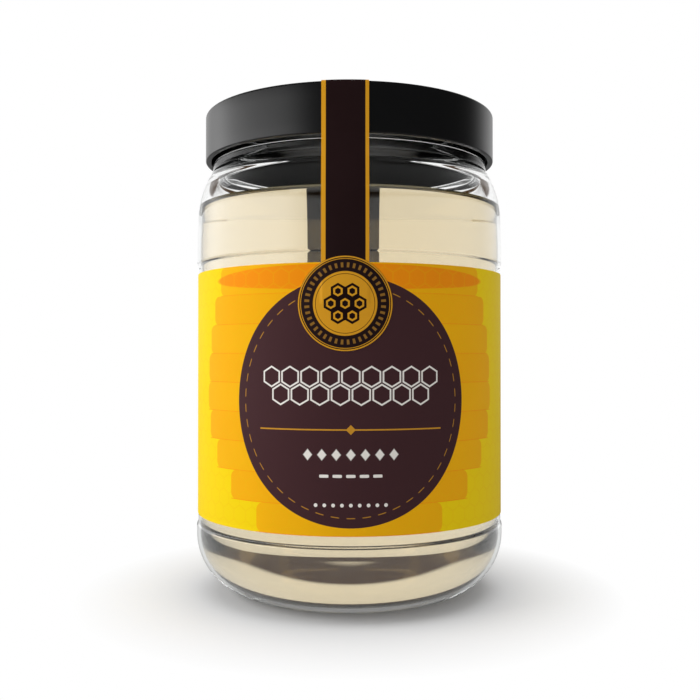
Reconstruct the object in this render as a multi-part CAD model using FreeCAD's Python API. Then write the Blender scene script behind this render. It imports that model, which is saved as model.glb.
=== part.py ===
import FreeCAD, Part
import math
import os

from FreeCAD import Vector

# Honey jar: a clear glass jar with a screw lid, filled, labelled and sealed with a paper band.
#
#   glass_jar    glass body: foot ring, heel, set-back label panel, shoulder, bead and finish
#   honey        the filling, up to its level in the shoulder
#   lid          plain screw cap, its top plate seated on the rim
#   wrap_label   paper label round the panel
#   seal_strip   paper band from the label's front, over the lid and down the back
#   round_seal   round paper seal over the band's front end
#
# Millimetres. The origin is the centre of the foot ring on the table, +Z is up, and -Y is the
# front. All but the two paper seals are shapes turned round Z.

# ---------------------------------------------------------------- glass, outside
body_radius = 34.5            # the two bands that stand proud of the label panel
heel_radius = 13.35           # round between foot and side
foot_width = 1.6              # flat ring that the jar stands on
foot_round = 0.6              # inner edge of that ring
push_up = 2.2                 # hollow under the jar, at its centre
lower_band = 1.7              # straight band between heel and panel
panel_depth = 0.3             # how far the label panel is set back
panel_blend = 0.8             # radius of both arcs of each panel step
label_margin = 1.9            # bare panel above and below the label
upper_band = 0.3              # straight band above the panel
lean_radius = 185.0           # long arc by which the wall starts to lean in
lean_turn = 3.2               # degrees that this arc turns
shoulder_radius = 19.3        # round of the shoulder
bead_inset = 3.45             # from the body in to the bead
bead_height = 1.9             # upright side of the bead
bead_round = 0.5              # top edge of the bead
bead_root = 1.2               # blend of bead and shoulder
finish_height = 9.4           # from the top of the bead to the rim
rim_round = 0.7               # both edges of the rim

# ---------------------------------------------------------------- glass, inside
side_wall = 2.1               # heel, side and shoulder
centre_wall = 2.6             # middle of the base
finish_wall = 2.4             # neck that carries the lid

# ---------------------------------------------------------------- filling
headspace = 19.6              # from the filling up to the rim

# ---------------------------------------------------------------- lid
lid_overhang = 1.6            # lid past the bead
lid_skirt_depth = 8.9         # from the rim down to the lid's foot
lid_skirt_wall = 1.2
lid_top_wall = 1.3
lid_top_round = 0.5
lid_foot_round = 0.3
lid_inner_round = 0.8         # between skirt and top plate
thread_room = 1.35            # from the finish out to the skirt

# ---------------------------------------------------------------- paper
label_height = 52.8
label_paper = 0.15
strip_width = 9.3
strip_paper = 0.2
seal_shift = -0.8             # middle of band and seal along X
strip_back_tail = 10.0        # how far the band runs down over the label at the back
seal_radius = 9.2
seal_paper = 0.15
seal_drop = 8.0               # centre of the seal below the label's top edge

# ---------------------------------------------------------------- worked out from the above
panel_radius = body_radius - panel_depth
label_radius = panel_radius + label_paper
foot_radius = body_radius - heel_radius
inner_foot_radius = foot_radius - foot_width
bead_radius = body_radius - bead_inset
lid_radius = bead_radius + lid_overhang
lid_bore = lid_radius - lid_skirt_wall
finish_radius = lid_bore - thread_room
mouth_radius = finish_radius - finish_wall

step_turn = math.acos(1 - panel_depth / (2 * panel_blend))
step_height = 2 * panel_blend * math.sin(step_turn)
panel_z = heel_radius + lower_band + step_height
label_z = panel_z + label_margin
label_top_z = label_z + label_height
panel_top_z = label_top_z + label_margin
lean_z = panel_top_z + step_height + upper_band

LEAN = math.radians(lean_turn)
lean_centre = (body_radius - lean_radius, lean_z)
turn_over = (
    lean_centre[0] + lean_radius * math.cos(LEAN),
    lean_centre[1] + lean_radius * math.sin(LEAN),
)
shoulder_centre = (
    turn_over[0] - shoulder_radius * math.cos(LEAN),
    turn_over[1] - shoulder_radius * math.sin(LEAN),
)
bead_z = shoulder_centre[1] + math.sqrt(
    shoulder_radius ** 2 - (bead_radius - shoulder_centre[0]) ** 2
)
bead_top_z = bead_z + bead_height
rim_z = bead_top_z + finish_height
fill_z = rim_z - headspace
lid_top_z = rim_z + lid_top_wall
lid_foot_z = rim_z - lid_skirt_depth
seal_z = label_top_z - seal_drop

AXIS_POINT = Vector(0, 0, 0)
UP = Vector(0, 0, 1)
SPARE = 1.0                   # how far cutting shapes reach past what they cut
SAME = 1e-6                   # lengths closer than this are equal


def on_profile(radius, height):
    """A point of the half-plane that is turned round Z."""
    return Vector(radius, 0, height)


class Outline:
    """Edges drawn one after another in the half-plane that is turned round Z."""

    def __init__(self, radius, height):
        self.start = on_profile(radius, height)
        self.here = self.start
        self.edges = []

    def line(self, radius, height):
        end = on_profile(radius, height)
        if (end - self.here).Length > SAME:
            self.edges.append(Part.makeLine(self.here, end))
            self.here = end
        return self

    def arc(self, centre, radius, height):
        """The shorter arc about a centre, from here to an end point."""
        middle_point, end = on_profile(*centre), on_profile(radius, height)
        size = (self.here - middle_point).Length
        halfway = (self.here - middle_point) + (end - middle_point)
        through = middle_point + halfway.normalize() * size
        self.edges.append(Part.Arc(self.here, through, end).toShape())
        self.here = end
        return self

    def dome(self, radius, height):
        """An arc from the axis out to an end point, level where it starts."""
        rise = self.here.z - height
        if abs(rise) < SAME:
            return self.line(radius, height)
        size = (radius ** 2 + rise ** 2) / (2 * rise)
        return self.arc((0, self.here.z - size), radius, height)

    def step(self, gain):
        """Two equal arcs that carry the wall in or out while it rises by step_height."""
        way = math.copysign(panel_blend, gain)
        end = (self.here.x + gain, self.here.z + step_height)
        middle = ((self.here.x + end[0]) / 2, (self.here.z + end[1]) / 2)
        self.arc((self.here.x + way, self.here.z), *middle)
        return self.arc((end[0] - way, end[1]), *end)

    def wire(self):
        return Part.Wire(self.edges)

    def solid(self):
        """The closed outline turned once round Z."""
        self.line(self.start.x, self.start.z)
        return Part.Face(self.wire()).revolve(AXIS_POINT, UP, 360)


def rounded(solid, size, radius, height):
    """Rounds the one circular edge that has this radius and height."""
    rings = [
        edge for edge in solid.Edges
        if not edge.Degenerated
        and isinstance(edge.Curve, Part.Circle)
        and abs(edge.Curve.Radius - radius) < SAME
        and abs(edge.Curve.Center.z - height) < SAME
    ]
    if not rings:
        raise ValueError(f"no edge of radius {radius} at height {height}")
    return solid.makeFillet(size, rings)


def tube(inner, outer, bottom, top):
    """A plain tube round Z."""
    full = Part.makeCylinder(outer, top - bottom, on_profile(0, bottom))
    return full.cut(Part.makeCylinder(inner, top - bottom, on_profile(0, bottom)))


def add_shoulder(outline, wall, end_radius):
    """The lean and the shoulder, set in by a wall, up to where they reach a radius."""
    lean, shoulder = lean_radius - wall, shoulder_radius - wall
    outline.arc(
        lean_centre,
        lean_centre[0] + lean * math.cos(LEAN),
        lean_centre[1] + lean * math.sin(LEAN),
    )
    run = end_radius - shoulder_centre[0]
    return outline.arc(
        shoulder_centre, end_radius, shoulder_centre[1] + math.sqrt(shoulder ** 2 - run ** 2)
    )


def glass_outside():
    """The jar as if it were solid glass, from the foot to the rim."""
    outline = Outline(0, push_up)
    outline.dome(inner_foot_radius, 0)
    outline.line(foot_radius, 0)
    outline.arc((foot_radius, heel_radius), body_radius, heel_radius)
    outline.line(body_radius, heel_radius + lower_band)
    outline.step(-panel_depth)
    outline.line(panel_radius, panel_top_z)
    outline.step(panel_depth)
    outline.line(body_radius, lean_z)
    add_shoulder(outline, 0, bead_radius)
    outline.line(bead_radius, bead_top_z)
    outline.line(finish_radius, bead_top_z)
    outline.line(finish_radius, rim_z)
    outline.line(0, rim_z)
    solid = outline.solid()
    solid = rounded(solid, foot_round, inner_foot_radius, 0)
    solid = rounded(solid, bead_root, bead_radius, bead_z)
    solid = rounded(solid, bead_round, bead_radius, bead_top_z)
    return rounded(solid, rim_round, finish_radius, rim_z)


def cavity(top):
    """The space inside the glass, from the floor up to a height in or above the mouth."""
    inner_radius = body_radius - side_wall
    inner_heel = heel_radius - side_wall
    outline = Outline(0, push_up + centre_wall)
    outline.dome(foot_radius, side_wall)
    outline.arc((foot_radius, side_wall + inner_heel), inner_radius, side_wall + inner_heel)
    outline.line(inner_radius, lean_z)
    add_shoulder(outline, side_wall, mouth_radius)
    outline.line(mouth_radius, top)
    outline.line(0, top)
    return outline.solid()


def glass_jar():
    hollow = glass_outside().cut(cavity(rim_z + SPARE))
    return rounded(hollow, rim_round, mouth_radius, rim_z)


def honey():
    """All of the cavity below the fill level."""
    below = Part.makeCylinder(body_radius, fill_z)
    return cavity(rim_z).common(below)


def lid():
    """Top plate on the rim, and a skirt that stands off the finish and clears the bead."""
    outline = Outline(0, rim_z)
    outline.line(lid_bore, rim_z)
    outline.line(lid_bore, lid_foot_z)
    outline.line(lid_radius, lid_foot_z)
    outline.line(lid_radius, lid_top_z)
    outline.line(0, lid_top_z)
    solid = outline.solid()
    solid = rounded(solid, lid_inner_round, lid_bore, rim_z)
    solid = rounded(solid, lid_foot_round, lid_radius, lid_foot_z)
    return rounded(solid, lid_top_round, lid_radius, lid_top_z)


def wrap_label():
    return tube(panel_radius, label_radius, label_z, label_top_z)


def touch(centre, size, radius, height):
    """Turn above level at which a straight line from a point meets a circle without cutting it."""
    across, along = radius - centre[0], height - centre[1]
    return math.atan2(along, across) - math.acos(size / math.hypot(across, along))


def on_circle(centre, size, turn):
    return centre[0] + size * math.cos(turn), centre[1] + size * math.sin(turn)


def paper_path(end_z):
    """What the papers lie on, from the middle of the lid down the front to a height.

    The path lies on the lid, hangs straight from the lid's foot to where it touches the glass,
    follows the glass, leads in over the label's top edge and runs down the label.
    """
    path = Outline(0, lid_top_z)
    path.line(lid_radius - lid_top_round, lid_top_z)
    path.arc(
        (lid_radius - lid_top_round, lid_top_z - lid_top_round),
        lid_radius, lid_top_z - lid_top_round,
    )
    path.line(lid_radius, lid_foot_z)
    turn = touch(shoulder_centre, shoulder_radius, lid_radius, lid_foot_z)
    if turn > LEAN:
        path.line(*on_circle(shoulder_centre, shoulder_radius, turn))
        path.arc(shoulder_centre, *turn_over)
    else:
        turn = touch(lean_centre, lean_radius, lid_radius, lid_foot_z)
        path.line(*on_circle(lean_centre, lean_radius, turn))
    path.arc(lean_centre, body_radius, lean_z)
    path.line(body_radius, panel_top_z + step_height)
    path.line(label_radius, label_top_z)
    path.line(label_radius, end_z)
    return path.wire()


def paper_bell(thickness, end_z):
    """Paper of a thickness along the whole path, all the way round Z."""
    section = paper_path(end_z).makeOffset2D(thickness, 0, True, True, False)
    edges = Part.sortEdges(section.Edges)[0]
    return Part.Face(Part.Wire(edges)).revolve(AXIS_POINT, UP, 360)


def seal_strip():
    """A straight band cut from the bell, with its front end under the seal and a tail behind."""
    reach = body_radius + strip_paper + SPARE
    height = lid_top_z + strip_paper + SPARE
    corner = Vector(seal_shift - strip_width / 2, -reach, 0)
    band = Part.makeBox(strip_width, 2 * reach, height, corner)
    behind = Part.makeBox(2 * reach, reach, label_top_z - strip_back_tail, Vector(-reach, 0, 0))
    return paper_bell(strip_paper, seal_z).common(band).cut(behind)


def round_seal(strip):
    """A disc pressed down over the band's end, so that it is hollow where the band lies."""
    bell = paper_bell(strip_paper + seal_paper, seal_z - seal_radius - SPARE)
    middle = Vector(seal_shift, 0, seal_z)
    disc = Part.makeCylinder(seal_radius, body_radius + SPARE, middle, Vector(0, -1, 0))
    return bell.common(disc).cut(strip)


def main():
    strip = seal_strip()
    nodes = {
        "glass_jar": glass_jar(),
        "honey": honey(),
        "lid": lid(),
        "wrap_label": wrap_label(),
        "seal_strip": strip,
        "round_seal": round_seal(strip),
    }
    os.makedirs("parts", exist_ok=True)
    for name, shape in nodes.items():
        shape.exportStep(f"parts/{name}.step")
        print(f"{name}: {len(shape.Solids)} solid, {shape.Volume / 1000:.3f} ml, valid {shape.isValid()}")


main()
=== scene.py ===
"""The finished look of a honey jar: clear glass, honey, black lid, printed label, band and seal."""

import logging
import math
from dataclasses import dataclass, field
from enum import Enum
from typing import Callable, Sequence

import bpy
import numpy as np
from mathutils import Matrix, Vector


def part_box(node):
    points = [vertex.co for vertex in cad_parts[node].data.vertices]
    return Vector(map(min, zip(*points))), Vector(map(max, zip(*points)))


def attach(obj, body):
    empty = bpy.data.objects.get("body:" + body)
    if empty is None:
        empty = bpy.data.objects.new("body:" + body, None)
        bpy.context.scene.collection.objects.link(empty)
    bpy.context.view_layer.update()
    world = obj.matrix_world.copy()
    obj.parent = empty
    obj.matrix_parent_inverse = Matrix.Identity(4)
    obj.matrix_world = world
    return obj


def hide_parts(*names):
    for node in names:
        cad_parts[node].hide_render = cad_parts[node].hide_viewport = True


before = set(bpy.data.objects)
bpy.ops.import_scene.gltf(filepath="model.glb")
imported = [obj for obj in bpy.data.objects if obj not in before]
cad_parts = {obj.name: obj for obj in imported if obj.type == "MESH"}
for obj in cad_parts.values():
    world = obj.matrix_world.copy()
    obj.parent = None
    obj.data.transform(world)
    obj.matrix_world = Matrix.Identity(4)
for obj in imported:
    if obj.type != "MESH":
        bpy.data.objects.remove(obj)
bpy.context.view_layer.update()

log = logging.getLogger("honey_jar")
MM = 0.001
ROOT = "root"
Faces = list[list[int]]
Colour = tuple[float, float, float]


# ---------------------------------------------------------------- outlines and surfaces


def segment(start: Sequence[float], end: Sequence[float]) -> np.ndarray:
    """Both ends of a straight piece of an outline.

    Args:
        start: radius and height of the first point.
        end: radius and height of the last point.

    Returns:
        An array of two points.
    """
    return np.array([start, end], float)


def arc(centre: Sequence[float], radius: float, first: float, last: float, count: int = 24) -> np.ndarray:
    """Points on a circle: centre plus radius times the cosine and sine of an even range of turns.

    Args:
        centre: radius and height of the circle's centre.
        radius: size of the circle.
        first: turn of the first point above level, in degrees.
        last: turn of the last point, in degrees.
        count: number of points.

    Returns:
        An array of points, one a row.
    """
    turn = np.radians(np.linspace(first, last, count))
    return np.asarray(centre) + radius * np.column_stack([np.cos(turn), np.sin(turn)])


def dome(top: float, edge: Sequence[float], count: int = 20) -> np.ndarray:
    """The arc from a point on the axis out to an edge, level where it starts.

    Its radius is the edge's radius squared plus the rise squared, over twice the rise.

    Args:
        top: height on the axis.
        edge: radius and height of the outer end.
        count: number of points.

    Returns:
        An array of points, from the axis outwards.
    """
    rise = top - edge[1]
    size = (edge[0] ** 2 + rise ** 2) / (2 * rise)
    end = math.degrees(math.acos(edge[0] / size)) if size > 0 else 0.0
    return arc((0.0, top - size), size, 90.0, end, count)


def chain(*pieces: np.ndarray) -> np.ndarray:
    """Outline pieces end to end, without the points that repeat."""
    points = np.vstack(pieces)
    step = np.linalg.norm(np.diff(points, axis=0), axis=1)
    return points[np.concatenate([[True], step > 1e-9])]


def lengths(points: np.ndarray) -> np.ndarray:
    """Distance along a line of points from its first point to each point."""
    return np.concatenate([[0.0], np.cumsum(np.linalg.norm(np.diff(points, axis=0), axis=1))])


def along(points: np.ndarray, places: np.ndarray) -> np.ndarray:
    """The points that lie at given distances along a line of points."""
    run = lengths(points)
    return np.column_stack([np.interp(places, run, points[:, k]) for k in range(points.shape[1])])


def soften(points: np.ndarray, corner: Sequence[float], reach: float, count: int = 9) -> np.ndarray:
    """Rounds one corner: all within reach of it becomes a parabola tangent to both sides.

    The parabola through a, c and b is (1-t)^2 a + 2t(1-t) c + t^2 b, for t from 0 to 1.

    Args:
        points: the outline.
        corner: radius and height of the corner.
        reach: distance along the outline, each way, that is replaced.
        count: number of points of the round.

    Returns:
        The outline with that corner rounded.
    """
    run = lengths(points)
    middle = int(np.argmin(np.linalg.norm(points - np.asarray(corner), axis=1)))
    low, high = run[middle] - reach, run[middle] + reach
    start, end = along(points, np.array([low, high]))
    t = np.linspace(0.0, 1.0, count)[:, None]
    bend = (1 - t) ** 2 * start + 2 * t * (1 - t) * points[middle] + t ** 2 * end
    return chain(points[run < low], bend, points[run > high])


def soften_all(points: np.ndarray, *rounds: tuple[Sequence[float], float]) -> np.ndarray:
    """Rounds several corners, each given with its reach."""
    for corner, reach in rounds:
        points = soften(points, corner, reach)
    return points


def divide(points: np.ndarray, longest: float) -> np.ndarray:
    """The same outline with long straight pieces cut into equal parts no longer than a limit."""
    parts = [
        np.linspace(a, b, max(int(math.ceil(float(np.linalg.norm(b - a)) / longest)), 1) + 1)
        for a, b in zip(points[:-1], points[1:])
    ]
    return chain(*parts)


def grid_faces(rows: int, columns: int, wrap: bool = False) -> Faces:
    """Faces of a grid of points numbered row by row.

    Args:
        rows: number of rows.
        columns: points in a row.
        wrap: whether the last column joins the first.

    Returns:
        Four-sided faces that turn from columns towards rows.
    """
    row, column = np.meshgrid(np.arange(rows - 1), np.arange(columns - (not wrap)), indexing="ij")
    here = (row * columns + column).ravel()
    right = (row * columns + (column + 1) % columns).ravel()
    return np.column_stack([here, right, right + columns, here + columns]).tolist()


def turned(outline: np.ndarray, around: int = 224) -> tuple[np.ndarray, Faces]:
    """Turns an outline that starts and ends on the axis once round Z.

    A point of radius r and height z goes to (r sin a, -r cos a, z), for a from 0 to a full turn.

    Args:
        outline: points of radius and height, with the solid on their left.
        around: number of steps in the turn.

    Returns:
        The points, and faces that look outwards, with one point at each pole.
    """
    turn = np.arange(around) * (2 * math.pi / around)
    radius, height = outline[1:-1, 0][:, None], outline[1:-1, 1][:, None]
    body = np.stack([radius * np.sin(turn), -radius * np.cos(turn), height + 0 * turn], axis=-1)
    poles = np.array([[0, 0, outline[0, 1]], [0, 0, outline[-1, 1]]])
    rings = body.shape[0]
    first, last = rings * around, rings * around + 1
    step = np.arange(around)
    following = (step + 1) % around
    top = (rings - 1) * around
    faces = grid_faces(rings, around, wrap=True)
    faces += np.column_stack([step * 0 + first, following, step]).tolist()
    faces += np.column_stack([top + step, top + following, step * 0 + last]).tolist()
    return np.vstack([body.reshape(-1, 3), poles]), faces


def grid_rim(rows: int, columns: int) -> np.ndarray:
    """Numbers of the points round the border of a grid, in the order that its faces turn."""
    bottom = np.arange(columns - 1)
    right = np.arange(rows - 1) * columns + columns - 1
    top = (rows - 1) * columns + np.arange(columns - 1, 0, -1)
    left = np.arange(rows - 1, 0, -1) * columns
    return np.concatenate([bottom, right, top, left])


def smooth_step(value: np.ndarray) -> np.ndarray:
    """0 below 0 and 1 above 1, and three t squared less two t cubed between."""
    t = np.clip(value, 0.0, 1.0)
    return t * t * (3 - 2 * t)


def new_piece(
    name: str,
    points: np.ndarray,
    faces: Faces,
    materials: Sequence[bpy.types.Material],
    print_map: np.ndarray | None = None,
    printed: int | None = None,
    crease: float = 35.0,
) -> bpy.types.Object:
    """Makes an object in metres from points in millimetres.

    Args:
        name: the piece's name.
        points: its points.
        faces: its faces.
        materials: the printed or only material, and then that of the remaining faces.
        print_map: place of each point on the flat print, in millimetres.
        printed: number of leading faces that have the first material.
        crease: angle in degrees above which an edge is sharp.

    Returns:
        The object, linked to the scene.
    """
    mesh = bpy.data.meshes.new(name)
    mesh.from_pydata((points * MM).tolist(), [], faces)
    for material in materials:
        mesh.materials.append(material)
    if print_map is not None:
        corners = np.zeros(len(mesh.loops), np.int32)
        mesh.loops.foreach_get("vertex_index", corners)
        layer = mesh.uv_layers.new(name="Print")
        layer.data.foreach_set("uv", print_map[corners].astype(np.float32).ravel())
    if printed is not None:
        chosen = np.ones(len(faces), np.int32)
        chosen[:printed] = 0
        mesh.polygons.foreach_set("material_index", chosen)
    mesh.shade_smooth()
    mesh.set_sharp_from_angle(angle=math.radians(crease))
    mesh.update()
    piece = bpy.data.objects.new(name, mesh)
    bpy.context.scene.collection.objects.link(piece)
    return piece


def install(piece: bpy.types.Object, node: str) -> bpy.types.Object:
    """Puts a piece in the place of a CAD node, on the jar's one body, and reports it."""
    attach(piece, ROOT)
    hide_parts(node)
    log.info("%s: %d points, %d faces", piece.name, len(piece.data.vertices), len(piece.data.polygons))
    return piece


def box_mm(node: str) -> tuple[np.ndarray, np.ndarray]:
    """The lowest and highest corner of a CAD node's box, in millimetres."""
    low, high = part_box(node)
    return np.array([*low], float) / MM, np.array([*high], float) / MM


@dataclass
class Sheet:
    """A paper: its two faces, point for point, and where each point lies on the flat print.

    The faces are those of the printed side, and rim numbers the points round its border in the
    order that the faces turn.
    """

    outer: np.ndarray
    inner: np.ndarray
    faces: Faces
    rim: np.ndarray
    flat: np.ndarray

    def build(self, name: str, materials: Sequence[bpy.types.Material]) -> bpy.types.Object:
        """Closes the two faces into a solid, printed on the outer one."""
        count = len(self.outer)
        back = [[count + corner for corner in reversed(face)] for face in self.faces]
        following = np.roll(self.rim, -1)
        sides = np.column_stack([following, self.rim, self.rim + count, following + count]).tolist()
        points = np.vstack([self.outer, self.inner])
        flat = np.vstack([self.flat, self.flat])
        return new_piece(name, points, self.faces + back + sides, materials, flat, len(self.faces))


# ---------------------------------------------------------------- shader arithmetic


class Graph:
    """Adds nodes to one tree."""

    def __init__(self, tree: bpy.types.NodeTree) -> None:
        """Keeps the tree."""
        self.tree = tree

    def node(self, kind: str, **settings: object) -> bpy.types.Node:
        """Adds a node and sets its plain properties."""
        made = self.tree.nodes.new(kind)
        for key, value in settings.items():
            setattr(made, key, value)
        return made

    def put(self, target: bpy.types.NodeSocket, value: object) -> None:
        """Links a signal or socket to an input, or writes a plain value on it."""
        if isinstance(value, Signal):
            value = value.socket
        if isinstance(value, bpy.types.NodeSocket):
            self.tree.links.new(value, target)
        elif isinstance(value, (tuple, list)) and len(value) == 3 and target.type == "RGBA":
            target.default_value = (*value, 1.0)
        else:
            target.default_value = value

    def math(self, operation: str, *values: object, clamp: bool = False) -> "Signal":
        """Adds a Math node and returns what it puts out."""
        made = self.node("ShaderNodeMath", operation=operation, use_clamp=clamp)
        for target, value in zip(made.inputs, values):
            self.put(target, value)
        return Signal(self, made.outputs[0])

    def blend(self, share: object, first: object, second: object, way: str = "MIX") -> "Signal":
        """A colour that goes from the first to the second as share goes from 0 to 1."""
        made = self.node("ShaderNodeMix", data_type="RGBA", blend_type=way)
        self.put(made.inputs["Factor"], share)
        self.put(made.inputs[6], first)
        self.put(made.inputs[7], second)
        return Signal(self, made.outputs[2])

    def fill(self, node: bpy.types.Node, **values: object) -> bpy.types.Node:
        """Puts values on a node's inputs. An underscore in a name stands for a space."""
        for key, value in values.items():
            self.put(node.inputs[key.replace("_", " ")], value)
        return node

    def use(self, group: bpy.types.NodeTree, **values: object) -> dict[str, "Signal"]:
        """Places a node group and fills its inputs."""
        made = self.fill(self.node("ShaderNodeGroup", node_tree=group), **values)
        return {out.name: Signal(self, out) for out in made.outputs}

    def noise(self, where: object, scale: float, detail: float = 2.0, rough: float = 0.5) -> "Signal":
        """Smooth noise between 0 and 1 at a place."""
        made = self.node("ShaderNodeTexNoise")
        self.fill(made, Vector=where, Scale=scale, Detail=detail, Roughness=rough)
        return Signal(self, made.outputs["Fac"])

    def ease(self, value: object, start: float, end: float) -> "Signal":
        """Goes smoothly from 0 to 1 as a value goes from start to end."""
        made = self.node("ShaderNodeMapRange", interpolation_type="SMOOTHSTEP")
        self.fill(made, Value=value, From_Min=start, From_Max=end)
        return Signal(self, made.outputs["Result"])

    def print_place(self) -> tuple["Signal", "Signal"]:
        """Across and up on the flat print, in millimetres, from the piece's own map."""
        source = self.node("ShaderNodeUVMap", uv_map="Print")
        parts = self.node("ShaderNodeSeparateXYZ")
        self.tree.links.new(source.outputs[0], parts.inputs[0])
        return Signal(self, parts.outputs[0]), Signal(self, parts.outputs[1])

    def object_place(self) -> "Signal":
        """The place on the object, in metres."""
        return Signal(self, self.node("ShaderNodeTexCoord").outputs["Object"])

    def bump(self, height: object, strength: float, distance: float) -> "Signal":
        """A normal tilted by the slope of a height."""
        made = self.node("ShaderNodeBump")
        self.fill(made, Strength=strength, Distance=distance, Height=height)
        return Signal(self, made.outputs[0])


def math_method(operation: str, swapped: bool = False) -> Callable[..., "Signal"]:
    """A method of Signal that adds one Math node. Swapped puts the other value first."""

    def method(self: "Signal", *others: object) -> "Signal":
        """Adds the node."""
        values = (*others, self) if swapped else (self, *others)
        return self.graph.math(operation, *values)

    return method


class Signal:
    """A value that runs between nodes. Arithmetic on it adds Math nodes."""

    def __init__(self, graph: Graph, socket: bpy.types.NodeSocket) -> None:
        """Keeps the graph and the socket that the value leaves by."""
        self.graph = graph
        self.socket = socket

    __add__ = math_method("ADD")
    __radd__ = math_method("ADD", swapped=True)
    __sub__ = math_method("SUBTRACT")
    __rsub__ = math_method("SUBTRACT", swapped=True)
    __mul__ = math_method("MULTIPLY")
    __rmul__ = math_method("MULTIPLY", swapped=True)
    __truediv__ = math_method("DIVIDE")
    __abs__ = math_method("ABSOLUTE")
    power = math_method("POWER")
    either = math_method("MAXIMUM")

    def call(self, operation: str, *others: object) -> "Signal":
        """Any other Math operation."""
        return self.graph.math(operation, self, *others)

    def below(self, limit: object, soft: float = 0.06) -> "Signal":
        """1 under a limit and 0 over it, with a soft edge of that width."""
        gap = self.graph.math("SUBTRACT", limit, self)
        return self.graph.math("MULTIPLY_ADD", gap, 1.0 / soft, 0.5, clamp=True)

    def above(self, limit: object, soft: float = 0.06) -> "Signal":
        """1 over a limit and 0 under it, with a soft edge of that width."""
        gap = self.graph.math("SUBTRACT", self, limit)
        return self.graph.math("MULTIPLY_ADD", gap, 1.0 / soft, 0.5, clamp=True)


def size_of(across: Signal, up: Signal) -> Signal:
    """Length of a flat step: the root of the sum of its squares."""
    return (across.power(2.0) + up.power(2.0)).power(0.5)


Recipe = Callable[[Graph, dict[str, Signal]], dict[str, Signal]]


def shared_group(
    name: str, inputs: Sequence[str], outputs: Sequence[str], recipe: Recipe
) -> bpy.types.NodeTree:
    """Builds a node group once, and returns the same one after that.

    Args:
        name: the group's name.
        inputs: names of its inputs. Place is a vector, and the others are numbers.
        outputs: names of its outputs, all numbers.
        recipe: adds the nodes, given the inputs, and returns the outputs.

    Returns:
        The group.
    """
    tree = bpy.data.node_groups.get(name)
    if tree is not None:
        return tree
    tree = bpy.data.node_groups.new(name, "ShaderNodeTree")
    for key in inputs:
        kind = "NodeSocketVector" if key == "Place" else "NodeSocketFloat"
        tree.interface.new_socket(key, in_out="INPUT", socket_type=kind)
    for key in outputs:
        tree.interface.new_socket(key, in_out="OUTPUT", socket_type="NodeSocketFloat")
    graph = Graph(tree)
    source, sink = graph.node("NodeGroupInput"), graph.node("NodeGroupOutput")
    made = recipe(graph, {key: Signal(graph, source.outputs[key]) for key in inputs})
    for key in outputs:
        graph.put(sink.inputs[key], made[key])
    return tree


def comb_group() -> bpy.types.NodeTree:
    """A honeycomb of pointed-top cells, Cell millimetres wide across their flats.

    Two square-cornered lattices, one cell wide and root three cells high, are laid half a step
    apart. Each place belongs to the lattice point that is nearer. Edge is the larger of the
    distance across and half of that plus 0.866 of the distance up, in half cells, so it is 0 in
    a cell's middle and 1 on its border.
    """

    def recipe(graph: Graph, given: dict[str, Signal]) -> dict[str, Signal]:
        """The place in its own cell: Edge, and the cell's middle."""
        across, up = given["Across"] / given["Cell"], given["Up"] / given["Cell"]
        tall = math.sqrt(3.0)

        def nearest(shift: float) -> tuple[Signal, Signal]:
            """The nearest point of the lattice that is shifted by a share of a step."""
            column = (across - 0.5 * shift).call("ROUND") + 0.5 * shift
            row = ((up / tall) - 0.5 * shift).call("ROUND") + 0.5 * shift
            return column, row * tall

        ways = []
        for shift in (0.0, 1.0):
            column, row = nearest(shift)
            size = (across - column).power(2.0) + (up - row).power(2.0)
            ways.append((column, row, size))
        (column_a, row_a, size_a), (column_b, row_b, size_b) = ways
        second = size_a.call("GREATER_THAN", size_b)
        column = column_a + (column_b - column_a) * second
        row = row_a + (row_b - row_a) * second
        left, rise = abs(across - column), abs(up - row)
        edge = left.either(left * 0.5 + rise * (tall / 2)) * 2.0
        return {"Edge": edge, "Cell Across": column * given["Cell"], "Cell Up": row * given["Cell"]}

    return shared_group("honeycomb", ("Across", "Up", "Cell"), ("Edge", "Cell Across", "Cell Up"), recipe)


def stroke_group() -> bpy.types.NodeTree:
    """A line of some Width where Distance equals Centre, with a soft edge."""

    def recipe(graph: Graph, given: dict[str, Signal]) -> dict[str, Signal]:
        """1 within half the width of the line's centre."""
        off = abs(given["Distance"] - given["Centre"])
        return {"Mask": off.below(given["Width"] * 0.5)}

    return shared_group("stroke", ("Distance", "Centre", "Width"), ("Mask",), recipe)


def spokes_group() -> bpy.types.NodeTree:
    """Count dashes round a centre: 1 where the turn's place in its step is under Share."""

    def recipe(graph: Graph, given: dict[str, Signal]) -> dict[str, Signal]:
        """1 on a dash, 0 between dashes."""
        turn = given["Up"].call("ARCTAN2", given["Across"]) / (2 * math.pi)
        place = (turn * given["Count"] + 100.0).call("FRACT")
        return {"Mask": abs(place - 0.5).below(given["Share"] * 0.5, 0.08)}

    return shared_group("spokes", ("Across", "Up", "Count", "Share"), ("Mask",), recipe)


def marks_group() -> bpy.types.NodeTree:
    """A row of equal marks, Period apart, out to Reach each side of the middle.

    A mark is where (x / Half Width)^Power + (y / Half Height)^Power is under 1: a lozenge at
    power 1, an ellipse at 2 and a bar at 6 or more.
    """

    def recipe(graph: Graph, given: dict[str, Signal]) -> dict[str, Signal]:
        """1 inside the nearest mark, out to the reach."""
        step = (given["Across"] / given["Period"]).call("ROUND") * given["Period"]
        wide = (abs(given["Across"] - step) / given["Half Width"]).power(given["Power"])
        high = (abs(given["Up"]) / given["Half Height"]).power(given["Power"])
        inside = (wide + high).below(1.0, 0.25)
        return {"Mask": inside * abs(step).below(given["Reach"])}

    names = ("Across", "Up", "Period", "Reach", "Half Width", "Half Height", "Power")
    return shared_group("mark row", names, ("Mask",), recipe)


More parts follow.
